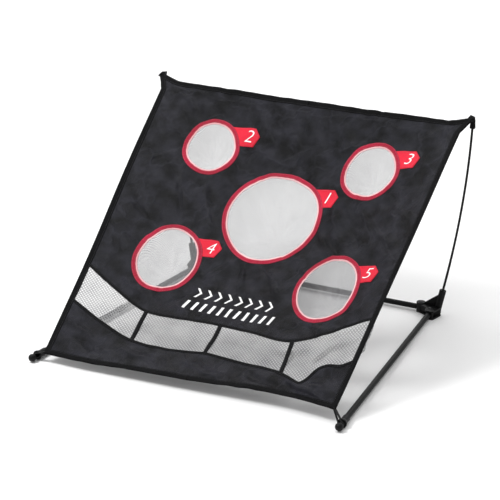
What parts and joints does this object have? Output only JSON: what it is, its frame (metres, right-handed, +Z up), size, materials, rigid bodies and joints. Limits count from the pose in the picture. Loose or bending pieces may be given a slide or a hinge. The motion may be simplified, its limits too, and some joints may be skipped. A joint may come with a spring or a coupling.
{
  "type": "golf chipping net",
  "caption": "Free-standing golf chipping net: a tilted black cloth target with round red-ringed mesh pockets, held between a low tube base and two bowed poles",
  "frame": {"origin": "middle of the box's bottom, on the ground", "axes": "+Z up, -Y towards the player, +X to the player's right, across the net"},
  "size_m": [1.0084, 0.848, 0.6236],
  "materials": {
    "panel_cloth": "woven polyester",
    "hem_tape": "folded and stitched",
    "ring_binding": "stitched binding tape",
    "tab_cloth": "printed cloth",
    "mesh_netting": "knitted net",
    "webbing": "woven webbing",
    "hub_plastic": "moulded nylon",
    "fitting_plastic": "moulded, slightly glossy",
    "black_tube": "satin powder coat",
    "ferrule_metal": "satin",
    "cap_rubber": "matt",
    "pole_glassfibre": "pultruded, satin",
    "pin_steel": "blackened"
  },
  "bodies": {
    "root": {"bottom_hem": "hem_tape", "left_hub": "hub_plastic", "left_knuckle_pin": "pin_steel", "left_leg_pin": "pin_steel", "left_side_hem": "hem_tape", "lower_apron": "panel_cloth", "mesh_pocket_1": "mesh_netting", "mesh_pocket_2": "mesh_netting", "mesh_pocket_3": "mesh_netting", "mesh_pocket_4": "mesh_netting", "mesh_pocket_5": "mesh_netting", "mesh_window_1": "mesh_netting", "mesh_window_2": "mesh_netting", "mesh_window_3": "mesh_netting", "mesh_window_4": "mesh_netting", "number_tab_1": "tab_cloth", "number_tab_2": "tab_cloth", "number_tab_3": "tab_cloth", "number_tab_4": "tab_cloth", "number_tab_5": "tab_cloth", "rear_tube": "black_tube", "right_hub": "hub_plastic", "right_knuckle_pin": "pin_steel", "right_leg_pin": "pin_steel", "right_side_hem": "hem_tape", "target_panel": "panel_cloth", "target_ring_1": "ring_binding", "target_ring_2": "ring_binding", "target_ring_3": "ring_binding", "target_ring_4": "ring_binding", "target_ring_5": "ring_binding", "top_hem": "hem_tape", "window_divider_1": "hem_tape", "window_divider_2": "hem_tape", "window_divider_3": "hem_tape"},
    "left_leg": {"left_foot_fitting": "fitting_plastic", "left_leg_eye": "fitting_plastic", "left_leg_tube": "black_tube", "left_strap_loop": "webbing"},
    "right_leg": {"right_foot_fitting": "fitting_plastic", "right_leg_eye": "fitting_plastic", "right_leg_tube": "black_tube", "right_strap_loop": "webbing"},
    "left_pole_set": {"left_corner_pocket": "hem_tape", "left_pole": "pole_glassfibre", "left_pole_ferrule": "ferrule_metal", "left_pole_tip_cap": "cap_rubber"},
    "right_pole_set": {"right_corner_pocket": "hem_tape", "right_pole": "pole_glassfibre", "right_pole_ferrule": "ferrule_metal", "right_pole_tip_cap": "cap_rubber"}
  },
  "joints": [
    {"name": "left_leg_fold", "type": "hinge", "parent": "root", "child": "left_leg", "pos_m": [-0.39, 0.384, 0], "axis": [0, 0, 1], "range_deg": [0, 12]},
    {"name": "left_pole_lift", "type": "slide", "parent": "root", "child": "left_pole_set", "axis": [-0.1901, 0.0901, 0.9776], "range_m": [0, 0.035]},
    {"name": "right_leg_fold", "type": "hinge", "parent": "root", "child": "right_leg", "pos_m": [0.39, 0.384, 0], "axis": [0, 0, -1], "range_deg": [0, 12]},
    {"name": "right_pole_lift", "type": "slide", "parent": "root", "child": "right_pole_set", "axis": [0.1901, 0.0901, 0.9776], "range_m": [0, 0.035]}
  ]
}
